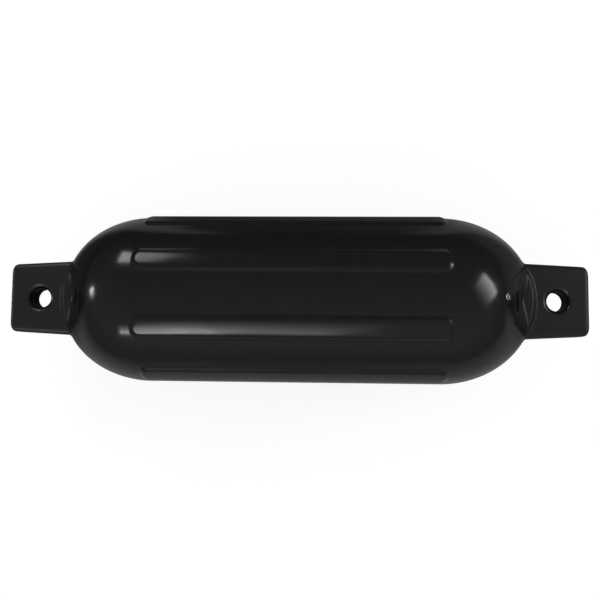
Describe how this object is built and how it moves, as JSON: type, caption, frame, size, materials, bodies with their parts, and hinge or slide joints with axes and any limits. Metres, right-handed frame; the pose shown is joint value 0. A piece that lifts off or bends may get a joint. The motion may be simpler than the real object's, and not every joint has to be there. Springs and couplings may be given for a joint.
{
  "type": "pneumatic fender",
  "caption": "Inflatable vinyl boat fender: a ribbed cylinder with domed ends, a flat rope-eye tab at each end and a needle valve in one dome.",
  "frame": {"origin": "centre of the body, on its long axis", "axes": "+X along the body towards the end with the valve, +Y across the tabs, +Z square to the tabs' flat faces and up as the fender lies"},
  "size_m": [0.559, 0.16, 0.16],
  "materials": {
    "vinyl": "moulded gloss black vinyl",
    "plated_metal": "plated, bright",
    "valve_rubber": "matte black rubber"
  },
  "bodies": {
    "root": {"fender_body": "vinyl", "valve_ferrule": "plated_metal", "valve_core": "valve_rubber"}
  },
  "joints": []
}
